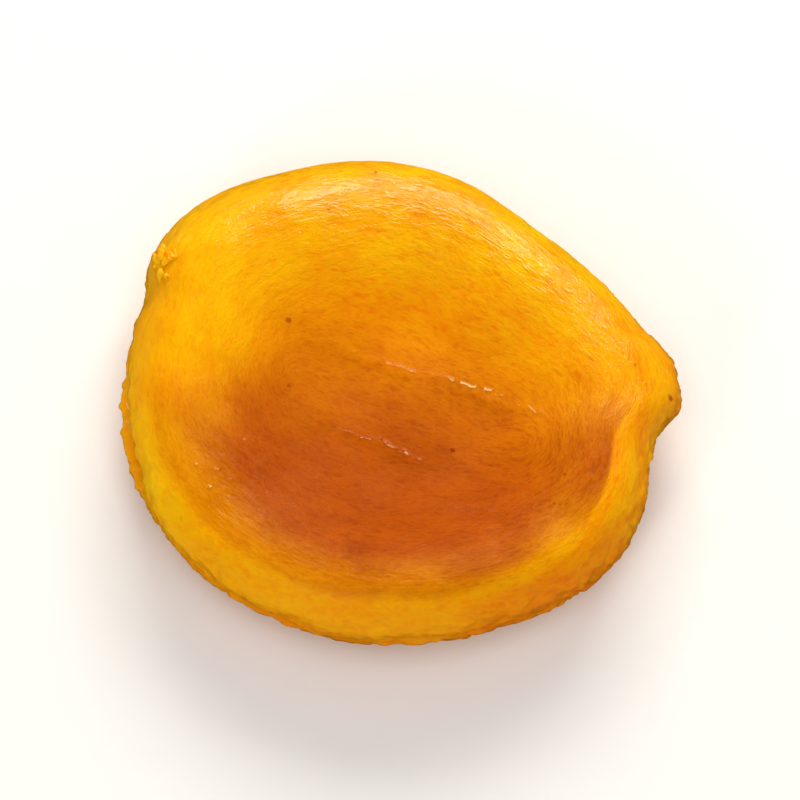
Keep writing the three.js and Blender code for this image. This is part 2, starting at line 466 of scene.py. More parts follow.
@dataclass
class FruitBody:
    """The fruit itself: a refined copy of its solid, with the relief of the dried skin."""

    solid: bpy.types.Object
    voxel: float = 0.25  # edge of the refined mesh, in millimetres
    weld: float = 0.001  # corners of the solid that are nearer than this become one, in millimetres
    turn_step: float = 2.0  # degrees between the places where the outline is measured
    unshift_rounds: int = 8  # rounds that find a point's share on the shifted dish
    relief: Relief = Relief()

    def build(self, material: bpy.types.Material) -> bpy.types.Object:
        """Makes the piece.

        Args:
            material: The finish that it gets.

        Returns:
            The finished object, in metres, at the origin.
        """
        core = self.refined()
        self.measure(core)
        piece = bpy.data.objects.new("dried_fruit", core)
        bpy.context.scene.collection.objects.link(piece)
        self.raise_relief(piece, material)
        return piece

    def refined(self) -> bpy.types.Mesh:
        """Closes the solid's mesh and gives it small even faces.

        Returns:
            The mesh, in millimetres.
        """
        mesh = self.solid.data.copy()
        shape = bmesh.new()
        shape.from_mesh(mesh)
        bmesh.ops.scale(shape, vec=Vector((1 / MM, 1 / MM, 1 / MM)), verts=shape.verts)
        bmesh.ops.remove_doubles(shape, verts=shape.verts, dist=self.weld)
        shape.to_mesh(mesh)
        shape.free()
        mesh.materials.clear()
        holder = bpy.data.objects.new("refining", mesh)
        bpy.context.scene.collection.objects.link(holder)
        remesh = holder.modifiers.new("even faces", "REMESH")
        remesh.mode = "VOXEL"
        remesh.voxel_size = self.voxel
        return plain_mesh(holder, "dried_fruit", remove=True)

    def measure(self, mesh: bpy.types.Mesh) -> None:
        """Stores how far out each point is, and whether it is inside the slit.

        Args:
            mesh: The refined mesh, in millimetres.
        """
        places = np.empty(len(mesh.vertices) * 3)
        mesh.vertices.foreach_get("co", places)
        places = places.reshape(-1, 3)
        angle, radius = bearings(places[:, :2])
        count = round(360 / self.turn_step)
        which = (angle / self.turn_step).astype(int) % count
        outline = np.array([radius[which == i].max() for i in range(count)])
        outline = (np.roll(outline, 1) + 2 * outline + np.roll(outline, -1)) / 4
        middles = (np.arange(count) + 0.5) * self.turn_step
        reach = np.interp(angle, middles, outline, period=360)
        share = np.minimum(radius / reach, 1)
        shift = np.where(places[:, 2:] > ANATOMY.equator, np.array(ANATOMY.dish_shift), 0.0)
        for _ in range(self.unshift_rounds):
            turned, out = bearings(places[:, :2] - shift * (1 - share ** 4)[:, None])
            share = np.minimum(out / np.interp(turned, middles, outline, period=360), 1)
        within = (angle > ANATOMY.slit_from) & (angle < ANATOMY.slit_to)
        near = np.abs(places[:, 2] - ANATOMY.equator) < ANATOMY.slit_half_gap
        inside = within & near & (reach - radius > ANATOMY.lip)
        start, end = (np.array(p) for p in ANATOMY.spine)
        run = end - start
        along = np.clip((places[:, :2] - start) @ run / (run @ run), 0, 1)
        aside = np.linalg.norm(places[:, :2] - start - along[:, None] * run, axis=1)
        store(mesh, Attribute.SHARE, share)
        store(mesh, Attribute.CONTOUR, aside / (aside + np.maximum(reach - radius, 0) + self.weld))
        store(mesh, Attribute.INSIDE, inside.astype(float))

    def raise_relief(self, piece: bpy.types.Object, material: bpy.types.Material) -> None:
        """Runs the relief's Geometry Nodes on the piece and keeps the result as its plain mesh.

        Args:
            piece: The piece.
            material: The finish that it gets.
        """
        tree, names = self.relief_tree()
        modifier = piece.modifiers.new("dried skin", "NODES")
        modifier.node_group = tree
        for name, value in self.settings(material).items():
            modifier[names[name]] = value
        mesh = plain_mesh(piece, "dried_fruit_skin")
        piece.modifiers.clear()
        piece.data = mesh

    def settings(self, material: bpy.types.Material) -> dict[str, object]:
        """The values of the relief tree's named inputs.

        Args:
            material: The finish that the piece gets.

        Returns:
            The values, by name.
        """
        r = self.relief
        return {
            "Smoothing": r.smoothing,
            "Swell": r.swell,
            "Contour": r.contour,
            "Wrinkle": r.wrinkle,
            "Crinkle": r.crinkle,
            "Dent": r.dent,
            "Grain": r.grain,
            "Coarse": r.coarse,
            "Torn": r.torn,
            "Seed": r.seed,
            "Material": material,
        }

    def relief_tree(self) -> tuple[bpy.types.NodeTree, dict[str, str]]:
        """Builds the tree that raises the dried skin's relief.

        Returns:
            The tree, and the identifier of each named input.
        """
        tree = bpy.data.node_groups.new("Dried skin", "GeometryNodeTree")
        names = {"Geometry": new_socket(tree, "Geometry", "NodeSocketGeometry")}
        new_socket(tree, "Geometry", "NodeSocketGeometry", into=False)
        names["Smoothing"] = new_socket(tree, "Smoothing", "NodeSocketInt", value=8)
        heights = ("Swell", "Contour", "Wrinkle", "Crinkle", "Dent", "Grain", "Coarse", "Torn")
        for name in (*heights, "Seed"):
            names[name] = new_socket(tree, name, "NodeSocketFloat", value=0.1)
        names["Material"] = new_socket(tree, "Material", "NodeSocketMaterial")
        net = Net(tree)
        given = net.add("NodeGroupInput")
        source = {s.name: Field(net, s) for s in given.outputs if s.name}

        smooth = self.smoothed(net, source)
        skin = SkinPlace.read(net, source["Seed"])
        outer, groove = self.outer_relief(net, skin, source)
        dished, wet = self.dish_relief(net, skin, source)
        common, contour, dents = self.common_relief(net, skin, source)
        height = common + outer + dished
        lines = (contour * 0.35 + 0.2) * skin.upward
        crease = (lines + groove * skin.outer + dents * 0.25).clamped()
        shaped = height * (1.0 - skin.inside * 0.8)
        offset = net.scaled(net.out("GeometryNodeInputNormal"), shaped)
        kept = net.out("GeometryNodeSetPosition", {"Geometry": smooth, "Offset": offset})
        values = {Attribute.DISH: skin.dish, Attribute.CREASE: crease, Attribute.WET: wet}
        for attribute, value in values.items():
            kept = self.keep(net, kept, attribute, value)
        self.finish(net, kept, source["Material"])
        return tree, names

    def common_relief(
        self, net: Net, skin: SkinPlace, source: dict[str, Field]
    ) -> tuple[Field, Field, Field]:
        """Relief that all the skin has: swell, lines that follow the rim, dents and grain.

        Args:
            net: The relief's tree.
            skin: Where on the skin a point is.
            source: The tree's inputs.

        Returns:
            The height, the lines' own pattern and the dents' own pattern, both from 0 to 1.
        """
        r, place, seed = self.relief, skin.place, skin.seed
        swell = net.noise(place, 1 / r.swell_pitch, 1.0, 0.4, seed) - 0.5
        height = swell * source["Swell"] * 2.0 * skin.lifted
        across = named(net, Attribute.CONTOUR) * (r.contour_reach / r.contour_pitch)
        contour = net.ridged(net.noise(place, 0.2, 2.5, 0.6, across + seed), 2.0)
        strength = skin.upward * (0.35 + 0.65 * skin.share.ramp(0.15, 0.6))
        height = height + (contour - 0.5) * source["Contour"] * strength
        dents = net.noise(place, 1 / r.dent_pitch, 2.0, 0.5, seed + 9.0).ramp(0.38, 0.62)
        height = height + (dents - 0.5) * source["Dent"] * skin.lifted * (0.2 + 0.8 * skin.outer)
        patchy = net.noise(place, 0.35, 1.0, 0.5, seed + 1.0).ramp(0.4, 0.62)
        grain = net.noise(place, 1 / r.grain_pitch, 1.0, 0.5, seed + 2.0) - 0.5
        height = height + grain * source["Grain"] * 2.0 * (0.4 + 0.6 * patchy) * skin.lifted
        return height, contour, dents

    def outer_relief(
        self, net: Net, skin: SkinPlace, source: dict[str, Field]
    ) -> tuple[Field, Field]:
        """Long wrinkles and a net of small cells in the outer skin.

        Args:
            net: The relief's tree.
            skin: Where on the skin a point is.
            source: The tree's inputs.

        Returns:
            The height, and how far a point is out of the grooves, from 0 to 1.
        """
        r, place, seed = self.relief, skin.place, skin.seed
        pitch = r.wrinkle_pitch
        along = net.join(skin.x / (pitch * r.wrinkle_stretch), skin.y / pitch, skin.z / pitch)
        bent = net.vector_math("ADD", along, net.cloud_vector(place, 0.16, 2.0))
        wrinkle = net.ridged(net.noise(bent, 1.15, 2.0, 0.5, seed + 5.0), 2.2)
        warp = net.scaled(net.cloud_vector(place, 0.5, 2.0), r.crinkle_warp)
        cells = net.vector_math("ADD", net.join(skin.x * 0.55, skin.y, skin.z), warp)
        cell_sources = {"Vector": cells, "Scale": 1 / r.crinkle_pitch}
        edge = net.out("ShaderNodeTexVoronoi", cell_sources, "Distance", feature="DISTANCE_TO_EDGE")
        crinkle = edge.ramp(0.0, 0.3)
        faint = net.noise(place, 0.25, 1.0, 0.5, seed + 8.0).ramp(0.35, 0.6)
        height = (wrinkle - 0.35) * source["Wrinkle"]
        height = height + (crinkle - 0.7) * source["Crinkle"] * (0.3 + 0.7 * faint)
        return height * skin.outer * skin.lifted, wrinkle * 0.6 + crinkle * 0.4

    def dish_relief(
        self, net: Net, skin: SkinPlace, source: dict[str, Field]
    ) -> tuple[Field, Field]:
        """The dish's thin folds and knobbly flesh, and the torn flesh at the slit.

        Args:
            net: The relief's tree.
            skin: Where on the skin a point is.
            source: The tree's inputs.

        Returns:
            The height, and how wet the skin is, from 0 to 1.
        """
        r, place, seed = self.relief, skin.place, skin.seed
        rough = net.distance(place, r.coarse_place).hump(r.coarse_reach) * skin.upward
        knobbly = net.noise(place, 1 / r.coarse_pitch, 1.5, 0.55, seed + 4.0).ramp(0.42, 0.66)
        tatter = net.distance(place, ANATOMY.tag).hump(r.torn_reach)
        shreds = net.ridged(net.noise(place, 1.0, 2.5, 0.6, seed + 7.0), 3.0)
        broken = net.noise(place, 0.7, 1.0, 0.5, seed + 6.0).ramp(0.36, 0.58)
        folds = fold_ridges(net, r.folds, net.wandered(place, 0.45, 2.0, r.wander))
        ridges = folds * (0.25 + 0.75 * broken) * skin.dish
        height = knobbly * source["Coarse"] * rough + ridges
        height = height + (shreds - 0.2) * source["Torn"] * tatter
        return height, (ridges * 7.0 + rough * 0.7 * knobbly).clamped()

    def smoothed(self, net: Net, source: dict[str, Field]) -> Field:
        """Blurs the solid's facets away and keeps its flat spot level.

        Args:
            net: The relief's tree.
            source: The tree's inputs.

        Returns:
            The geometry.
        """
        position = net.out("GeometryNodeInputPosition")
        blurred = net.add("GeometryNodeBlurAttribute", data_type="FLOAT_VECTOR")
        net.feed(socket_of(blurred.inputs, "Value"), position)
        net.feed(blurred.inputs["Iterations"], source["Smoothing"])
        result = Field(net, socket_of(blurred.outputs, "Value"))
        x, y, z = net.split(result)
        low = net.split(position)[2]
        level = low.ramp(0.0, 0.4)
        raised = net.join(x, y, z * level + low * (1.0 - level))
        sources = {"Geometry": source["Geometry"], "Position": raised}
        return net.out("GeometryNodeSetPosition", sources)

    def keep(self, net: Net, geometry: Field, attribute: Attribute, value: Field) -> Field:
        """Stores a value on the points of the geometry.

        Args:
            net: The relief's tree.
            geometry: The geometry.
            attribute: The name to store it under.
            value: The value.

        Returns:
            The geometry with the value.
        """
        sources = {"Geometry": geometry, "Name": attribute.value, "Value": value}
        node = net.add("GeometryNodeStoreNamedAttribute", data_type="FLOAT", domain="POINT")
        for name, given in sources.items():
            net.feed(socket_of(node.inputs, name), given)
        return Field(net, node.outputs[0])

    def finish(self, net: Net, geometry: Field, material: Field) -> None:
        """Brings the geometry back to metres, shades it smooth and gives it its material.

        Args:
            net: The relief's tree.
            geometry: The geometry, in millimetres.
            material: The finish that it gets.
        """
        scaled = net.out("GeometryNodeTransform", {"Geometry": geometry, "Scale": (MM, MM, MM)})
        shaded = net.out("GeometryNodeSetShadeSmooth", {"Geometry": scaled})
        real = net.out("GeometryNodeRealizeInstances", {"Geometry": shaded})
        dressed = net.out("GeometryNodeSetMaterial", {"Geometry": real, "Material": material})
        net.add("NodeGroupOutput", {0: dressed})


@dataclass
class TornFlesh:
    """Small shreds of flesh at the slit's end and along its lips, torn when the stone came out."""

    body: bpy.types.Object
    lumps: float = 1.9  # shreds for each square millimetre at the slit's end
    shreds: float = 0.5  # the same along the lips
    reach: float = 1.4
    smallest: float = 0.2
    largest: float = 0.5
    stretch: float = 1.5  # length against width
    flatness: float = 0.8  # height against width
    subdivisions: int = 3
    tilt: float = 0.5  # the most that a shred leans, in radians
    push: float = 0.8  # how far noise moves its skin, from end to end
    push_waves: float = 1.6  # waves of that noise in a millimetre
    seed: int = 11

    def build(self, material: bpy.types.Material) -> bpy.types.Object:
        """Makes the piece.

        Args:
            material: The finish that it gets.

        Returns:
            The finished object, in metres, at the origin.
        """
        piece = bpy.data.objects.new("torn_flesh", self.body.data.copy())
        bpy.context.scene.collection.objects.link(piece)
        tree, names = self.tree()
        modifier = piece.modifiers.new("shreds", "NODES")
        modifier.node_group = tree
        values = {"Lumps": self.lumps, "Shreds": self.shreds, "Seed": self.seed}
        for name, value in {**values, "Material": material}.items():
            modifier[names[name]] = value
        mesh = plain_mesh(piece, "torn_flesh")
        piece.modifiers.clear()
        piece.data = mesh
        return piece

    def tree(self) -> tuple[bpy.types.NodeTree, dict[str, str]]:
        """Builds the tree that scatters the shreds over the skin.

        Returns:
            The tree, and the identifier of each named input.
        """
        tree = bpy.data.node_groups.new("Torn flesh", "GeometryNodeTree")
        names = {"Geometry": new_socket(tree, "Geometry", "NodeSocketGeometry")}
        new_socket(tree, "Geometry", "NodeSocketGeometry", into=False)
        names["Lumps"] = new_socket(tree, "Lumps", "NodeSocketFloat", value=1.0)
        names["Shreds"] = new_socket(tree, "Shreds", "NodeSocketFloat", value=1.0)
        names["Seed"] = new_socket(tree, "Seed", "NodeSocketInt", value=1)
        names["Material"] = new_socket(tree, "Material", "NodeSocketMaterial")
        net = Net(tree)
        given = net.add("NodeGroupInput")
        source = {s.name: Field(net, s) for s in given.outputs if s.name}
        shreds = self.roughened(net, self.scattered(net, source))
        scaled = net.out("GeometryNodeTransform", {"Geometry": shreds, "Scale": (MM,) * 3})
        shaded = net.out("GeometryNodeSetShadeSmooth", {"Geometry": scaled})
        plain = net.out("GeometryNodeRealizeInstances", {"Geometry": shaded})
        sources = {"Geometry": plain, "Material": source["Material"]}
        dressed = net.out("GeometryNodeSetMaterial", sources)
        net.add("NodeGroupOutput", {0: dressed})
        return tree, names

    def scattered(self, net: Net, source: dict[str, Field]) -> Field:
        """Sets small balls on the skin, most of them at the slit's end.

        Args:
            net: The shreds' tree.
            source: The tree's inputs.

        Returns:
            The balls as instances, in millimetres, leaning every way.
        """
        sources = {"Geometry": source["Geometry"], "Scale": (1 / MM,) * 3}
        skin = net.out("GeometryNodeTransform", sources)
        near = net.distance(net.out("GeometryNodeInputPosition"), ANATOMY.tag).hump(self.reach)
        inside = named(net, Attribute.INSIDE)
        lips = (inside * (1.0 - inside) * 4.0).clamped()
        density = near * source["Lumps"] + lips * source["Shreds"]
        scatter = net.add("GeometryNodeDistributePointsOnFaces", {"Mesh": skin})
        net.feed(socket_of(scatter.inputs, "Density"), density)
        net.feed(scatter.inputs["Seed"], source["Seed"])
        round_sources = {"Radius": 1.0, "Subdivisions": self.subdivisions}
        ball = net.out("GeometryNodeMeshIcoSphere", round_sources)
        spin = net.add("FunctionNodeRandomValue", data_type="FLOAT_VECTOR")
        net.feed(socket_of(spin.inputs, "Max"), (self.tilt, self.tilt, math.tau))
        net.feed(spin.inputs["Seed"], source["Seed"])
        size = net.add("FunctionNodeRandomValue", data_type="FLOAT")
        net.feed(socket_of(size.inputs, "Min"), self.smallest)
        net.feed(socket_of(size.inputs, "Max"), self.largest)
        width = Field(net, socket_of(size.outputs, "Value"))
        placed = {
            "Points": Field(net, scatter.outputs["Points"]),
            "Instance": ball,
            "Rotation": Field(net, scatter.outputs["Rotation"]),
            "Scale": net.join(width * self.stretch, width, width * self.flatness),
        }
        balls = net.out("GeometryNodeInstanceOnPoints", placed)
        turned = net.add("GeometryNodeRotateInstances", {"Instances": balls})
        net.feed(turned.inputs["Rotation"], Field(net, socket_of(spin.outputs, "Value")))
        return Field(net, turned.outputs[0])

    def roughened(self, net: Net, balls: Field) -> Field:
        """Makes the balls real and pushes their skin about, so that none stays round.

        Args:
            net: The shreds' tree.
            balls: The balls, as instances.

        Returns:
            The shreds' geometry, in millimetres.
        """
        real = net.out("GeometryNodeRealizeInstances", {"Geometry": balls})
        cloud = net.cloud_vector(net.out("GeometryNodeInputPosition"), self.push_waves, 2.0)
        wobble = net.vector_math("SUBTRACT", cloud, (0.5, 0.5, 0.5))
        offset = net.vector_math("MULTIPLY", wobble, (self.push,) * 3)
        return net.out("GeometryNodeSetPosition", {"Geometry": real, "Offset": offset})


def bearings(places: np.ndarray) -> tuple[np.ndarray, np.ndarray]:
    """The angle in degrees and the distance of each place in plan from the middle."""
    angle = np.degrees(np.arctan2(places[:, 1], places[:, 0])) % 360
    return angle, np.hypot(places[:, 0], places[:, 1])


def socket_of(sockets: bpy.types.bpy_prop_collection, name: str) -> bpy.types.NodeSocket:
    """The socket of that name that is in use, where several share the name."""
    return next(s for s in sockets if s.name == name and s.enabled)


def named(net: Net, attribute: Attribute) -> Field:
    """A stored value, read in a geometry tree."""
    return net.out("GeometryNodeInputNamedAttribute", {"Name": attribute.value}, data_type="FLOAT")


def store(mesh: bpy.types.Mesh, attribute: Attribute, values: np.ndarray) -> None:
    """Stores one value for each point of a mesh."""
    made = mesh.attributes.new(attribute.value, "FLOAT", "POINT")
    made.data.foreach_set("value", values.astype(np.float32))


def plain_mesh(holder: bpy.types.Object, name: str, remove: bool = False) -> bpy.types.Mesh:
    """The mesh that an object's modifiers make.

    Args:
        holder: The object.
        name: The new mesh's name.
        remove: True to delete the object afterwards.

    Returns:
        A new mesh with every modifier applied.
    """
    bpy.context.view_layer.update()
    evaluated = holder.evaluated_get(bpy.context.evaluated_depsgraph_get())
    mesh = bpy.data.meshes.new_from_object(evaluated)
    mesh.name = name
    if remove:
        bpy.data.objects.remove(holder)
    return mesh


def grain_group() -> bpy.types.NodeTree:
    """The fine grain that all the flesh has, as a group for shaders.

    Returns:
        A group that takes a place in millimetres and gives a height and a smudge, from 0 to 1.
    """
    name = "Flesh grain"
    if name in bpy.data.node_groups:
        return bpy.data.node_groups[name]
    tree = bpy.data.node_groups.new(name, "ShaderNodeTree")
    new_socket(tree, "Place", "NodeSocketVector")
    new_socket(tree, "Pitch", "NodeSocketFloat", value=0.38)
    new_socket(tree, "Height", "NodeSocketFloat", into=False)
    new_socket(tree, "Smudge", "NodeSocketFloat", into=False)
    net = Net(tree)
    given = net.add("NodeGroupInput")
    place, pitch = Field(net, given.outputs["Place"]), Field(net, given.outputs["Pitch"])
    dimple = net.noise(place, 1.0 / pitch, 2.0, 0.55, 3.0)
    fine = net.noise(place, 2.7 / pitch, 2.0, 0.5, 8.0)
    smudge = net.noise(place, 0.13 / pitch, 3.0, 0.6, 6.0).ramp(0.35, 0.65)
    net.add("NodeGroupOutput", {"Height": dimple * 0.75 + fine * 0.25, "Smudge": smudge})
    return tree


def grain(net: Net, place: Field, pitch: float = 0.38) -> tuple[Field, Field]:
    """Bump height and smudge of the flesh's fine grain.

    Args:
        net: The material's tree.
        place: A place on the flesh, in millimetres.
        pitch: How far apart the grain's dimples are, in millimetres.

    Returns:
        The height and the smudge, each from 0 to 1.
    """
    node = net.add("ShaderNodeGroup", node_tree=grain_group())
    net.feed(node.inputs["Place"], place)
    net.feed(node.inputs["Pitch"], pitch)
    return Field(net, node.outputs["Height"]), Field(net, node.outputs["Smudge"])


def object_place(net: Net) -> Field:
    """The point that is being shaded, in millimetres from the fruit's own origin."""
    return net.scaled(net.out("ShaderNodeTexCoord", index="Object"), 1 / MM)


def bumped(net: Net, height: Field, strength: float, distance: float) -> Field:
    """A normal that a height of 1 lifts by a distance in millimetres."""
    sources: Sources = {"Strength": strength, "Distance": distance * MM, "Height": height}
    return net.out("ShaderNodeBump", sources)


@dataclass(frozen=True)
class Speck:
    """A small dark fleck in the skin, in millimetres in plan."""

    place: PlanPoint
    radius: float
    depth: float  # how dark it is, from 0 to 1


@dataclass(frozen=True)
class FleshFinish:
    """Moist, translucent, sugared apricot flesh."""

    rim: Colour = colour(248, 168, 0)
    rim_pale: Colour = colour(255, 177, 0)
    # painted shade: the rim's colour low on its wall, on its near side and at the stem end
    rim_painted_shade: Colour = colour(240, 130, 0)
    slope: Colour = colour(252, 164, 0)
    dish: Colour = colour(246, 148, 0)
    # the dish's darkest colour: partly its own deeper orange, partly painted shade
    dish_deep_and_shade: Colour = colour(176, 76, 0)
    fleck: Colour = colour(150, 34, 0)
    scar: Colour = colour(150, 84, 22)
    inner: Colour = colour(214, 104, 4)
    specks: tuple[Speck, ...] = (
        Speck((-9.2, 5.4), 0.34, 0.62),
        Speck((-9.1, 0.0), 0.22, 0.5),
        Speck((-1.5, -4.4), 0.18, 0.8),
        Speck((4.3, -5.3), 0.24, 0.85),
        Speck((13.3, -8.8), 0.18, 0.6),
        Speck((12.4, -11.4), 0.15, 0.5),
        Speck((-2.0, 18.6), 0.2, 0.6),
        Speck((22.2, -1.0), 0.28, 0.7),
    )
    glints: tuple[FoldLine, ...] = (
        FoldLine((-6.6, 4.3), (-3.4, 3.4), 0.5, 0.13),
        FoldLine((-1.2, 2.4), (2.0, 1.4), 0.5, 0.13),
        FoldLine((3.6, 1.1), (8.6, -0.6), 1.0, 0.18),
        FoldLine((9.2, -1.4), (11.8, -2.8), 0.5, 0.13),
        FoldLine((-5.4, -3.3), (-2.4, -4.5), 0.7, 0.13),
        FoldLine((-1.8, -4.4), (2.0, -6.4), 0.7, 0.14),
    )
    glint_wander: float = 0.9
    sharp_border: Point = (17.0, -7.0, 9.0)  # where the dish's colour ends sharply
    sharp_reach: float = 7.0
    deepest: Point = (1.0, 0.0, 7.0)  # middle of the dish's deepest colour, partly painted shade
    deepest_reach: float = 7.5
    # painted highlight: pale cream laid on the folds' ridges where the lamps glint
    syrup: Colour = colour(255, 214, 130)
    crease_shade: Colour = (0.86, 0.66, 0.4, 1.0)
    beads: Point = (-15.6, -9.8, 8.5)
    bead_reach: float = 4.2
    glow: float = 0.42  # share of the light that goes under the skin
    glow_reach: float = 1.5  # millimetres that it travels there
    glow_spread: Point = (1.0, 0.72, 0.18)  # share of that reach in red, green and blue
    dry_shine: float = 0.06  # gloss of the flesh itself, under its wet coat
    dullness: float = 0.38  # roughness of the plain skin
    dish_dullness: float = 0.2  # more of it on the dish's floor
    smudge_dullness: float = 0.1
    slit_wetness: float = 0.15  # less of it in the slit
    fold_wetness: float = 0.25  # less of it on the dish's folds
    coat_base: float = 0.03  # the wet coat all over
    coat_patches: float = 0.1  # more of it in patches on the far side
    coat_side: float = 0.85  # on the rim's outer side and below
    coat_far: float = 0.05
    coat_crest: float = 0.12
    coat_strands: float = 0.95
    coat_folds: float = 0.1
    coat_syrup: float = 2.0
    coat_roughness: float = 0.12
    coat_index: float = 1.45
    fibre_lines: float = 46.0  # fine fibres from the dish's middle line to the outline
    coarse_lines: float = 44.0
    streak_lines: float = 17.0  # bands from the middle to the outline
    strand_lines: float = 62.0
    brushed_lines: float = 60.0
    grain_bump: float = 0.85
    fibre_bump: float = 1.1
    brushed_bump: float = 0.75
    strand_bump: float = 0.8
    crease_bump: float = 1.6  # on the flat spot, which has no relief in the mesh
    glint_bump: float = 3.0
    bead_bump: float = 2.2
    bump_strength: float = 0.5
    bump_height: float = 0.12  # millimetres that a bump of 1 stands for

    def make(self) -> bpy.types.Material:
        """Builds the material.

        Returns:
            The material.
        """
        material = bpy.data.materials.new("apricot_flesh")
        material.use_nodes = True
        net = Net(material.node_tree)
        shader = material.node_tree.nodes["Principled BSDF"]
        place = object_place(net)
        net.feed(shader.inputs["Base Color"], self.tint(net, place))
        net.feed(shader.inputs["Roughness"], self.roughness(net, place))
        bumps = self.bumps(net, place)
        net.feed(shader.inputs["Normal"], bumps)
        net.feed(shader.inputs["Coat Normal"], bumps)
        shader.inputs["Subsurface Weight"].default_value = self.glow
        shader.inputs["Subsurface Radius"].default_value = self.glow_spread
        shader.inputs["Subsurface Scale"].default_value = self.glow_reach * MM
        net.feed(shader.inputs["Coat Weight"], self.shine(net, place))
        shader.inputs["Specular IOR Level"].default_value = self.dry_shine
        shader.inputs["Coat Roughness"].default_value = self.coat_roughness
        shader.inputs["Coat IOR"].default_value = self.coat_index
        return material

    def stored(self, net: Net, attribute: Attribute) -> Field:
        """A value that the skin's relief left on the mesh."""
        return net.out("ShaderNodeAttribute", index="Fac", attribute_name=attribute.value)

    def tint(self, net: Net, place: Field) -> Field:
        """The flesh's colour over the skin, with painted shade in its creases and low on the rim
        and painted highlights on the dish's folds.

        Args:
            net: The material's tree.
            place: A place on the skin, in millimetres.

        Returns:
            The colour.
        """
        plain = self.plain_tint(net, place)
        lined = self.lined_tint(net, place, plain)
        # Painted shade: the colour darkens in the relief's creases.
        hollows = 1.0 - self.stored(net, Attribute.CREASE)
        creased = net.blend("MULTIPLY", hollows * 0.3, lined, self.crease_shade)
        walls = net.mix(self.stored(net, Attribute.INSIDE), creased, self.inner)
        # Painted highlight: the folds' ridges are paled to cream where the lamps glint on them.
        dried = (self.glint_ridges(net, place) * 0.8).ramp(0.25, 0.8) * 0.75
        sugared = net.mix(dried, walls, self.syrup)
        scarred = net.mix(self.scar_mask(net, place), sugared, self.scar)
        return net.mix(self.speck_mask(net, place), scarred, self.fleck)

    def plain_tint(self, net: Net, place: Field) -> Field:
        """The colours of the rim and the dish, and how they run into each other, with painted shade
        on the rim's low and near parts and in the dish.

        Args:
            net: The material's tree.
            place: A place on the skin, in millimetres.

        Returns:
            The colour.
        """
        x, y, z = net.split(place)
        share = self.stored(net, Attribute.SHARE)
        cloud = net.noise(place, 0.16, 3.0, 0.55, 1.3)
        cast = net.noise(place, 0.6, 3.0, 0.6, 4.1)
        # The dish's colour spreads further over the rim towards the near left: partly painted
        # shade.
        wider = (y * -0.85 - x * 0.5).ramp(0.0, 15.0) * (1.0 - share.ramp(0.86, 0.97)) * 0.6
        stem_side = (x * 0.9 - y * 0.4).ramp(9.0, 15.0) * (1.0 - share.ramp(0.78, 0.9)) * 0.3
        soft = self.stored(net, Attribute.DISH) + wider + stem_side
        sharp = net.distance(place, self.sharp_border).hump(self.sharp_reach)
        crisp = soft.ramp(0.1, 0.36)
        border = (soft * (1.0 - sharp) + crisp * sharp + (cloud - 0.5) * 0.16).clamped()
        # Partly painted shade: the dish darkens towards the near side and in its middle; the rest
        # is the flesh's own deeper orange.
        middle = net.distance(place, self.deepest).hump(self.deepest_reach)
        deepening_and_shade = 0.51 - y * 0.054 - x * 0.012 + middle * 0.15 + (cloud - 0.5) * 0.35
        floor = net.mix(deepening_and_shade.ramp(0.0, 1.0), self.dish, self.dish_deep_and_shade)
        bands = (self.streaks(net, place) * 0.6 + cast * 0.4).ramp(0.42, 0.66)
        # Painted shade: the rim turns deeper orange low on its wall, towards the near side and at
        # the stem end.
        stem_end_shade = (x - y * 0.5).ramp(12.0, 19.0) * 0.6
        low = (1.0 - z.ramp(1.0, 8.5) + (y * -1.0).ramp(9.0, 19.0) * 0.35 + stem_end_shade).clamped()
        rim = net.mix(low, net.mix(bands, self.rim, self.rim_pale), self.rim_painted_shade)
        edge = net.mix(border.ramp(0.1, 0.6), rim, self.slope)
        return net.mix(border.ramp(0.24, 0.97), edge, floor)

    def lined_tint(self, net: Net, place: Field, plain: Field) -> Field:
        """The plain colours with the flesh's fine fibres and the rim's soft bands over them.

        Args:
            net: The material's tree.
            place: A place on the skin, in millimetres.
            plain: The plain colours.

        Returns:
            The colour.
        """
        x, y, _ = net.split(place)
        share = self.stored(net, Attribute.SHARE)
        strength = 0.65 + 0.35 * (x + y * 0.5).ramp(-6.0, 10.0)
        fibre = net.mix(self.fibres(net, place), grey(0.1), grey(0.8))
        lined = net.blend("SOFT_LIGHT", strength, plain, fibre)
        slope = share.ramp(0.45, 0.7) * (1.0 - share.ramp(0.88, 1.0))
        band = net.mix(self.streaks(net, place).ramp(0.35, 0.65), grey(0.3), grey(0.75))
        return net.blend("SOFT_LIGHT", slope * 0.5, lined, band)

    def fibres(self, net: Net, place: Field) -> Field:
        """Fine wavy lines in the flesh that follow the rim, from 0 to 1.

        Args:
            net: The material's tree.
            place: A place on the skin, in millimetres.

        Returns:
            The lines.
        """
        contour = self.stored(net, Attribute.CONTOUR)
        coarse = net.noise(place, 0.22, 3.0, 0.62, contour * self.coarse_lines).ramp(0.3, 0.7)
        fine = net.ridged(net.noise(place, 0.8, 2.5, 0.65, contour * self.fibre_lines), 1.6)
        return coarse * 0.3 + fine * 0.7

    def streaks(self, net: Net, place: Field) -> Field:
        """Soft bands in the rim that follow the outline, from 0 to 1."""
        share = self.stored(net, Attribute.SHARE)
        return net.noise(place, 0.09, 3.0, 0.6, share * self.streak_lines)

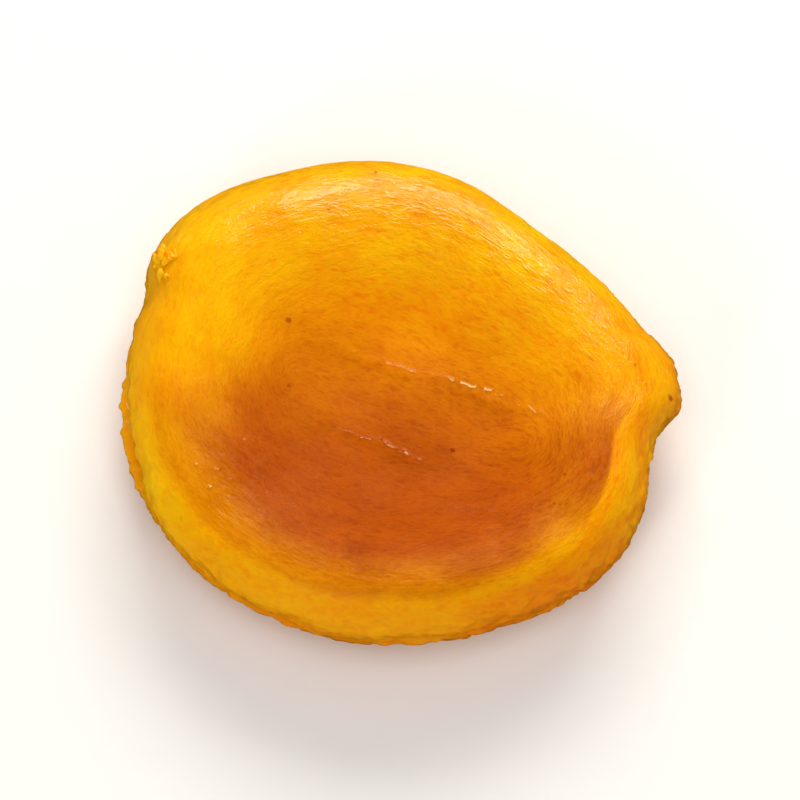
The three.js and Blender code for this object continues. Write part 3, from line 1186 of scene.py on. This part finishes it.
    def glint_ridges(self, net: Net, place: Field) -> Field:
        """Thin wet ridges on the dish's folds, up to 1 high.

        Args:
            net: The material's tree.
            place: A place on the skin, in millimetres.

        Returns:
            The ridges.
        """
        ridges = fold_ridges(net, self.glints, net.wandered(place, 1.1, 3.0, self.glint_wander))
        broken = net.noise(place, 1.3, 1.0, 0.5, 2.2).ramp(0.4, 0.56)
        height = net.split(place)[2]
        return ridges * (0.15 + 0.85 * broken) * height.ramp(ANATOMY.equator, ANATOMY.equator + 0.5)

    def bead_domes(self, net: Net, place: Field) -> Field:
        """Small beads of syrup on the near side of the dish, up to 1 high.

        Args:
            net: The material's tree.
            place: A place on the skin, in millimetres.

        Returns:
            The beads.
        """
        cells = net.add("ShaderNodeTexVoronoi", {"Vector": place, "Scale": 1.05, "Randomness": 1.0})
        chance = net.split(Field(net, cells.outputs["Color"]))[0]
        dome = 1.0 - Field(net, cells.outputs["Distance"]).ramp(0.05, 0.34)
        away = net.distance(place, self.beads)
        return dome * (chance - away * 0.07).ramp(0.28, 0.34) * away.hump(self.bead_reach)

    def scar_mask(self, net: Net, place: Field) -> Field:
        """Brown skin round the stem's scar.

        Args:
            net: The material's tree.
            place: A place on the skin, in millimetres.

        Returns:
            How brown it is, from 0 to 1.
        """
        away = net.distance(place, ANATOMY.scar)
        ragged = away + (net.noise(place, 1.1, 2.0, 0.6, 2.0) - 0.5) * 1.2
        return (1.0 - ragged.ramp(0.6, 1.4)) * 0.8

    def speck_mask(self, net: Net, place: Field) -> Field:
        """Dark flecks on the upper skin, and a few pale brown ones anywhere.

        Args:
            net: The material's tree.
            place: A place on the skin, in millimetres.

        Returns:
            How dark they are, from 0 to 1.
        """
        x, y, z = net.split(place)
        plan = net.join(x, y, 0.0)
        ragged = (net.noise(place, 3.4, 2.0, 0.6, 7.0) - 0.5) * 1.5
        mask = net.nothing()
        for speck in self.specks:
            away = net.distance(plan, (*speck.place, 0.0)) / speck.radius + ragged
            mask = net.math("MAXIMUM", mask, (1.0 - away.ramp(0.45, 1.0)) * speck.depth)
        upper = z.ramp(ANATOMY.equator - 0.5, ANATOMY.equator + 0.5)
        scatter = net.out("ShaderNodeTexVoronoi", {"Vector": place, "Scale": 0.21}, "Distance")
        pores = (1.0 - (scatter + ragged * 0.03).ramp(0.02, 0.045)) * 0.35
        return net.math("MAXIMUM", mask * upper, pores)

    def roughness(self, net: Net, place: Field) -> Field:
        """How dull the skin is: satin on the rim, duller in the dish, wetter in the slit.

        Args:
            net: The material's tree.
            place: A place on the skin, in millimetres.

        Returns:
            The shader's roughness.
        """
        dish = self.stored(net, Attribute.DISH)
        inside = self.stored(net, Attribute.INSIDE)
        wet = self.stored(net, Attribute.WET)
        smudge = grain(net, place)[1]
        base = self.dullness + dish * self.dish_dullness + (smudge - 0.5) * self.smudge_dullness
        return base - inside * self.slit_wetness - wet * self.fold_wetness

    def shine(self, net: Net, place: Field) -> Field:
        """How much of a wet coat the skin has: most on the dish's folds, least on its floor.

        Args:
            net: The material's tree.
            place: A place on the skin, in millimetres.

        Returns:
            The coat, from 0 to 1.
        """
        dish = self.stored(net, Attribute.DISH)
        wet = self.stored(net, Attribute.WET)
        x, y, z = net.split(place)
        patchy = net.noise(place, 0.5, 3.0, 0.6, 11.0).ramp(0.42, 0.6)
        far = (x * 0.3 + y).ramp(-2.0, 14.0)
        drops = self.glint_ridges(net, place) + self.bead_domes(net, place)
        crest = z.ramp(8.0, 10.4)
        low = 1.0 - z.ramp(6.0, 8.5)
        skin = self.coat_base + self.coat_patches * patchy * far + self.coat_side * low
        strands = self.strands(net, place)
        bright = self.coat_far + self.coat_crest * crest + self.coat_strands * strands
        rim = (1.0 - dish).ramp(0.35, 1.0) * (skin + bright * far)
        return (rim + wet * self.coat_folds + drops * self.coat_syrup).clamped()

    def strands(self, net: Net, place: Field) -> Field:
        """Fine strands of flesh along the rim's crest, up to 1 high.

        Args:
            net: The material's tree.
            place: A place on the skin, in millimetres.

        Returns:
            The strands.
        """
        share = self.stored(net, Attribute.SHARE)
        lines = net.noise(place, 0.55, 3.0, 0.65, share * self.strand_lines).ramp(0.4, 0.62)
        return lines * net.split(place)[2].ramp(8.0, 10.4)

    def bumps(self, net: Net, place: Field) -> Field:
        """Fine dimples and fibres, too small for the mesh.

        Args:
            net: The material's tree.
            place: A place on the skin, in millimetres.

        Returns:
            The bent normal.
        """
        share = self.stored(net, Attribute.SHARE)
        brushed = net.noise(place, 0.5, 2.0, 0.5, share * self.brushed_lines)
        pressed = 1.0 - net.split(place)[2].ramp(0.02, 0.6)
        layers = (
            (grain(net, place)[0], self.grain_bump),
            (self.fibres(net, place), self.fibre_bump),
            (brushed, self.brushed_bump),
            (self.strands(net, place), self.strand_bump),
            (self.stored(net, Attribute.CREASE) * pressed, self.crease_bump),
            (self.glint_ridges(net, place), self.glint_bump),
            (self.bead_domes(net, place), self.bead_bump),
        )
        height = sum((layer * strength for layer, strength in layers), start=net.nothing())
        return bumped(net, height, self.bump_strength, self.bump_height)


@dataclass(frozen=True)
class ShredFinish:
    """Torn flesh: paler and wetter than the skin."""

    pale: Colour = colour(255, 196, 4)
    deep: Colour = colour(255, 174, 0)
    grain_pitch: float = 0.3
    dry_shine: float = 0.1
    coat: float = 0.45
    coat_roughness: float = 0.12
    coat_index: float = 1.45
    bump_strength: float = 0.5
    bump_height: float = 0.1

    def make(self) -> bpy.types.Material:
        """Builds the material.

        Returns:
            The material.
        """
        material = bpy.data.materials.new("torn_apricot_flesh")
        material.use_nodes = True
        net = Net(material.node_tree)
        shader = material.node_tree.nodes["Principled BSDF"]
        height, smudge = grain(net, object_place(net), self.grain_pitch)
        net.feed(shader.inputs["Base Color"], net.mix(smudge, self.deep, self.pale))
        net.feed(shader.inputs["Roughness"], 0.3 + smudge * 0.15)
        net.feed(shader.inputs["Normal"], bumped(net, height, self.bump_strength, self.bump_height))
        shader.inputs["Specular IOR Level"].default_value = self.dry_shine
        shader.inputs["Coat Weight"].default_value = self.coat
        shader.inputs["Coat Roughness"].default_value = self.coat_roughness
        shader.inputs["Coat IOR"].default_value = self.coat_index
        return material


@dataclass(frozen=True)
class FloorFinish:
    """Plain pale studio paper."""

    tone: Colour = colour(250, 250, 250)
    shade: Colour = colour(247, 247, 247)
    mottle: float = 300.0  # waves of its mottling in a metre
    roughness: float = 0.75
    gloss: float = 0.2

    def make(self) -> bpy.types.Material:
        """Builds the material.

        Returns:
            The material.
        """
        material = bpy.data.materials.new("studio_paper")
        material.use_nodes = True
        net = Net(material.node_tree)
        shader = material.node_tree.nodes["Principled BSDF"]
        place = net.out("ShaderNodeTexCoord", index="Object")
        mottle = net.noise(place, self.mottle, 3.0, 0.6)
        net.feed(shader.inputs["Base Color"], net.mix(mottle, self.tone, self.shade))
        shader.inputs["Roughness"].default_value = self.roughness
        shader.inputs["Specular IOR Level"].default_value = self.gloss
        return material


@dataclass(frozen=True)
class SoftBox:
    """A rectangular lamp: where it is seen from the fruit, how large it is and how bright."""

    name: str
    bearing: float  # degrees from +X, anticlockwise from above
    elevation: float
    distance: float
    size: tuple[float, float]
    power: float
    tone: Colour
    mirrored: bool = True  # False keeps it out of reflections


@dataclass
class Studio:
    """The floor, the lamps and the camera."""

    aim: Vector
    elevation: float = 66.0  # the camera looks down on the laid fruit by this many degrees
    distance: float = 0.36
    lens: float = 196.0
    sky: float = 0.3  # strength of the even light from all round
    floor_half: float = 1.5
    nearest: float = 0.01  # the camera sees nothing nearer than this
    boxes: tuple[SoftBox, ...] = (
        SoftBox("key", 80.0, 38.0, 0.42, (0.34, 0.2), 1.5, WARM),
        SoftBox("top", 275.0, 72.0, 0.55, (0.4, 0.4), 1.1, WHITE, mirrored=False),
        SoftBox("low side", 238.0, 30.0, 0.45, (0.08, 0.12), 0.36, WARM),
    )

    def build(self) -> None:
        """Makes the whole studio."""
        self.lay_floor()
        self.hang_lamps()
        self.set_camera()
        self.light_room()

    def lay_floor(self) -> None:
        """A large sheet of paper under the fruit."""
        shape = bmesh.new()
        bmesh.ops.create_grid(shape, x_segments=2, y_segments=2, size=self.floor_half)
        mesh = bpy.data.meshes.new("studio_floor")
        shape.to_mesh(mesh)
        shape.free()
        mesh.materials.append(FloorFinish().make())
        floor = bpy.data.objects.new("studio_floor", mesh)
        floor.visible_glossy = False
        bpy.context.scene.collection.objects.link(floor)
        floor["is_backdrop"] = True

    def hang_lamps(self) -> None:
        """The soft boxes, each turned to the fruit."""
        for box in self.boxes:
            lamp = bpy.data.lights.new(box.name, "AREA")
            lamp.shape = "RECTANGLE"
            lamp.size, lamp.size_y = box.size
            lamp.energy = box.power
            lamp.color = box.tone[:3]
            holder = bpy.data.objects.new(box.name, lamp)
            holder.visible_glossy = box.mirrored
            away = direction(box.bearing, box.elevation)
            holder.location = self.aim + away * box.distance
            holder.rotation_euler = away.to_track_quat("Z", "Y").to_euler()
            bpy.context.scene.collection.objects.link(holder)

    def set_camera(self) -> None:
        """The camera, in front of the fruit and above it."""
        camera = bpy.data.cameras.new("camera")
        camera.lens = self.lens
        camera.clip_start = self.nearest
        holder = bpy.data.objects.new("camera", camera)
        away = direction(-90.0, self.elevation)
        holder.location = self.aim + away * self.distance
        holder.rotation_euler = away.to_track_quat("Z", "Y").to_euler()
        bpy.context.scene.collection.objects.link(holder)
        bpy.context.scene.camera = holder

    def light_room(self) -> None:
        """Even white light from all round, and plain screen colours."""
        world = bpy.data.worlds.new("room")
        world.use_nodes = True
        backdrop = world.node_tree.nodes["Background"]
        backdrop.inputs["Color"].default_value = WHITE
        backdrop.inputs["Strength"].default_value = self.sky
        bpy.context.scene.world = world
        world.cycles_visibility.glossy = False
        bpy.context.scene.view_settings.view_transform = "Standard"


def direction(bearing: float, elevation: float) -> Vector:
    """The direction of a bearing and an elevation.

    Args:
        bearing: Degrees from +X, anticlockwise from above.
        elevation: Degrees above the floor.

    Returns:
        A vector of length 1.
    """
    turn, rise = math.radians(bearing), math.radians(elevation)
    flat = math.cos(rise)
    return Vector((math.cos(turn) * flat, math.sin(turn) * flat, math.sin(rise)))


def main() -> None:
    """Loads the frame, builds each part of the scene in order and logs the pieces' face counts."""
    logging.basicConfig(level=logging.INFO, format="%(name)s: %(message)s")
    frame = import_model()
    cad_low, cad_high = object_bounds()
    body = FruitBody(frame["nodes"][SOLID]).build(FleshFinish().make())
    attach(body, BODY)
    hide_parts(SOLID)
    LOG.info("%s: %d faces", body.name, len(body.data.polygons))
    torn = TornFlesh(body).build(ShredFinish().make())
    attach(torn, BODY)
    LOG.info("%s: %d faces", torn.name, len(torn.data.polygons))
    Studio(aim=Vector((0.0, 0.0, AIM_SHARE * cad_high[2]))).build()
    LOG.info("studio: floor, lamps and camera")


if __name__ == "__main__":
    main()
